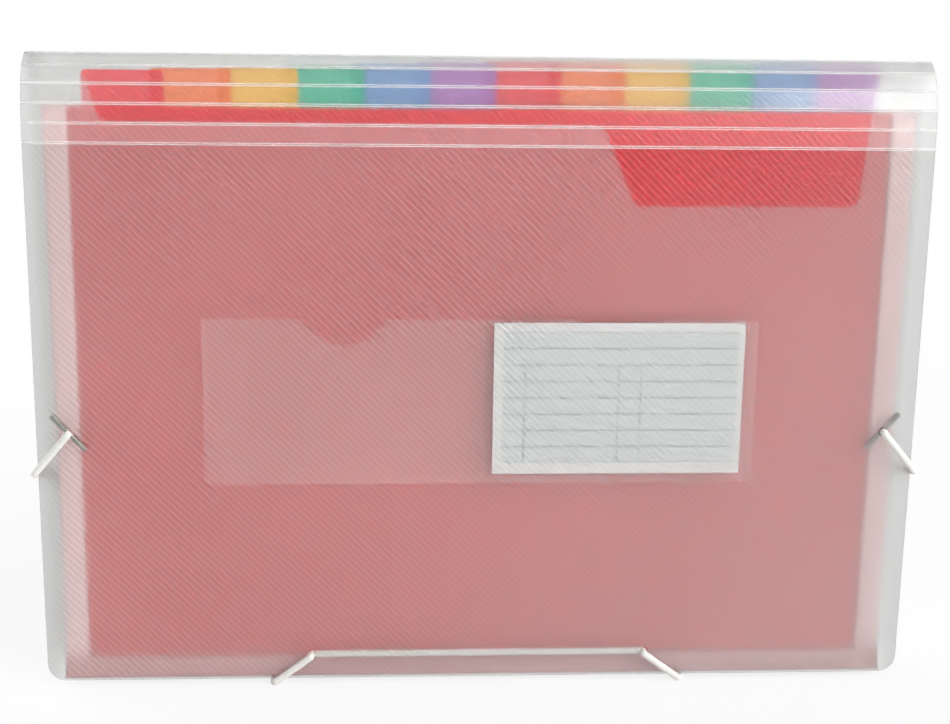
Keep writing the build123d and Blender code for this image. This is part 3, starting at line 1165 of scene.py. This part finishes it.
    def build(self, frame: dict[str, Any], effects: SharedEffects) -> list[Object]:
        """Make the cord's pieces and dress the T-bars.

        Args:
            frame: The loaded frame.
            effects: The shared node groups.

        Returns:
            The cord's pieces.
        """
        braid, steel = self.braid.make(effects), self.steel.make(effects)
        for node in ("t_bar_left", "t_bar_right"):
            dress(frame["nodes"][node], steel)
        made: list[tuple[Object, str]] = []
        for side in Side:
            word = side.name.lower()
            loop = self.tube(f"cord_loop_{word}", self.line(self.loop_points, side))
            foot = self.tube(f"cord_foot_{word}", self.line(self.foot_points, side))
            made += [(loop, f"elastic_loop_{word}"), (foot, f"elastic_foot_{word}")]
        made.append((self.tube("cord_run", self.line(self.run_points)), "elastic_run"))
        for piece, node in made:
            dress(piece, braid)
            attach(piece, "front_flap")
            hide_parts(node)
            if node != "elastic_run":
                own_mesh(piece)
        return [piece for piece, _ in made]


@dataclass(frozen=True)
class Lamp:
    """One square area lamp: its place, the point it faces, the length of its side and its power."""

    name: str
    place: Point
    aim: Point
    size: float
    watts: float

    def hang(self) -> None:
        """Add the lamp to the scene."""
        data = bpy.data.lights.new(self.name, "AREA")
        data.shape = "SQUARE"
        data.size = self.size
        data.energy = self.watts
        lamp = bpy.data.objects.new(self.name, data)
        lamp.location = self.place
        lamp.rotation_euler = (Vector(self.aim) - Vector(self.place)).to_track_quat("-Z", "Y").to_euler()
        bpy.context.scene.collection.objects.link(lamp)


@dataclass
class Studio:
    """Pale floor, soft lamps, white surround and the camera at the photograph's angle."""

    image_width: int = 950
    focal_pixels: float = 1644.7
    sensor: float = 36.0
    pitch: float = math.radians(13.72)
    yaw: float = -0.0617
    roll: float = 0.0146
    eye: Point = (-0.039507, -0.602539, 0.273194)
    clip_span: Span = (0.01, 100.0)
    sky: float = 0.45
    sky_tint: Colour = (0.97, 0.985, 1.0)
    white: Colour = (1.0, 1.0, 1.0)
    thin_layers: int = 32
    floor_reach: float = 30.0
    floor_colour: Colour = (0.92, 0.92, 0.92)
    glow_span: Span = (0.25, 0.8)
    glow_share: Span = (0.82, 1.0)
    lamps: tuple[Lamp, ...] = (
        Lamp("key_lamp", (0.87, -0.61, 0.95), (0.0, 0.0, 0.12), 0.7, 8.5),
        Lamp("spark_lamp", (0.434, -0.993, 0.61), (0.131, -0.008, 0.225), 0.15, 0.4),
        Lamp("strip_lamp", (0.5, -1.3, 0.5), (0.05, 0.0, 0.22), 0.6, 1.0),
        Lamp("rear_lamp", (-0.7, 1.1, 0.9), (0.0, 0.0, 0.12), 0.8, 5.5),
        Lamp("fill_lamp", (1.0, -0.95, 0.32), (0.0, 0.0, 0.10), 0.8, 6.2),
        Lamp("side_lamp", (-1.1, 0.35, 0.45), (-0.16, 0.0, 0.12), 0.8, 5.0),
    )

    @staticmethod
    def seen(graph: Graph) -> NodeSocket:
        """Mask of the camera, glossy and transmission rays.

        Args:
            graph: The graph that gets the nodes.

        Returns:
            The mask's socket.
        """
        path = graph.add("ShaderNodeLightPath").outputs
        bounced = graph.math("MAXIMUM", path["Is Glossy Ray"], path["Is Transmission Ray"])
        return graph.math("MAXIMUM", path["Is Camera Ray"], bounced)

    def floor(self) -> Object:
        """A wide pale floor that keeps the object's shadow and glows white further away.

        Returns:
            The floor.
        """
        reach = self.floor_reach
        points = np.array([(-reach, -reach, 0), (reach, -reach, 0), (reach, reach, 0), (-reach, reach, 0)])
        floor = put_mesh("studio_floor", points, [[0, 1, 2, 3]], smooth=False)
        material = bpy.data.materials.new("pale_floor")
        material.use_nodes = True
        graph = Graph(material.node_tree)
        matt = graph.add("ShaderNodeBsdfDiffuse", {"Color": (*self.floor_colour, 1.0)})
        glow = graph.add("ShaderNodeEmission", {"Color": (*self.white, 1.0), "Strength": 1.0})
        away = graph.add("ShaderNodeVectorMath", {0: graph.place()}, operation="LENGTH").outputs["Value"]
        share = graph.product(self.seen(graph), graph.ramp(away, *self.glow_span, *self.glow_share))
        both = graph.add("ShaderNodeMixShader", {0: share, 1: matt.outputs[0], 2: glow.outputs[0]})
        graph.add("ShaderNodeOutputMaterial", {"Surface": both.outputs[0]})
        dress(floor, material)
        return floor

    def surround(self) -> None:
        """White for the rays that are seen, softer and cooler light for the object."""
        world = bpy.data.worlds.new("soft_surround")
        bpy.context.scene.world = world
        world.use_nodes = True
        graph = Graph(world.node_tree)
        light = graph.add("ShaderNodeBackground", {"Color": (*self.sky_tint, 1.0), "Strength": self.sky})
        white = graph.add("ShaderNodeBackground", {"Color": (*self.white, 1.0), "Strength": 1.0})
        inputs = {0: self.seen(graph), 1: light.outputs[0], 2: white.outputs[0]}
        both = graph.add("ShaderNodeMixShader", inputs)
        graph.add("ShaderNodeOutputWorld", {"Surface": both.outputs[0]})

    def camera(self) -> Object:
        """The camera that was fitted to the photograph's outline.

        Returns:
            The camera.
        """
        right = Vector((math.cos(self.yaw), math.sin(self.yaw), 0))
        ahead = Vector((
            -math.sin(self.yaw) * math.cos(self.pitch),
            math.cos(self.yaw) * math.cos(self.pitch),
            -math.sin(self.pitch),
        ))
        up = right.cross(ahead)
        across = right * math.cos(self.roll) + up * math.sin(self.roll)
        above = up * math.cos(self.roll) - right * math.sin(self.roll)
        data = bpy.data.cameras.new("photo_camera")
        data.sensor_width = self.sensor
        data.lens = self.sensor * self.focal_pixels / self.image_width
        data.clip_start, data.clip_end = self.clip_span
        camera = bpy.data.objects.new("photo_camera", data)
        turn = Matrix((across, above, -ahead)).transposed().to_4x4()
        camera.matrix_world = Matrix.Translation(self.eye) @ turn
        bpy.context.scene.collection.objects.link(camera)
        bpy.context.scene.camera = camera
        return camera

    def build(self) -> None:
        """Set the stage, the lamps, the view settings and the camera."""
        self.floor()
        self.surround()
        for lamp in self.lamps:
            lamp.hang()
        self.camera()
        bpy.context.scene.view_settings.view_transform = "Standard"
        bpy.context.scene.cycles.transparent_max_bounces = self.thin_layers


def main() -> None:
    """Load the frame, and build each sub-assembly."""
    logging.basicConfig(level=logging.INFO, format="%(name)s: %(message)s")
    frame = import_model()
    effects = SharedEffects()
    pieces = [*Cover().build(frame, effects), *Bellows().build(frame, effects)]
    Label().build(frame, effects)
    pieces += Elastic().build(frame, effects)
    Studio().build()
    for piece in pieces:
        LOG.info("%s: %d faces", piece.name, len(piece.data.polygons))


if __name__ == "__main__":
    main()
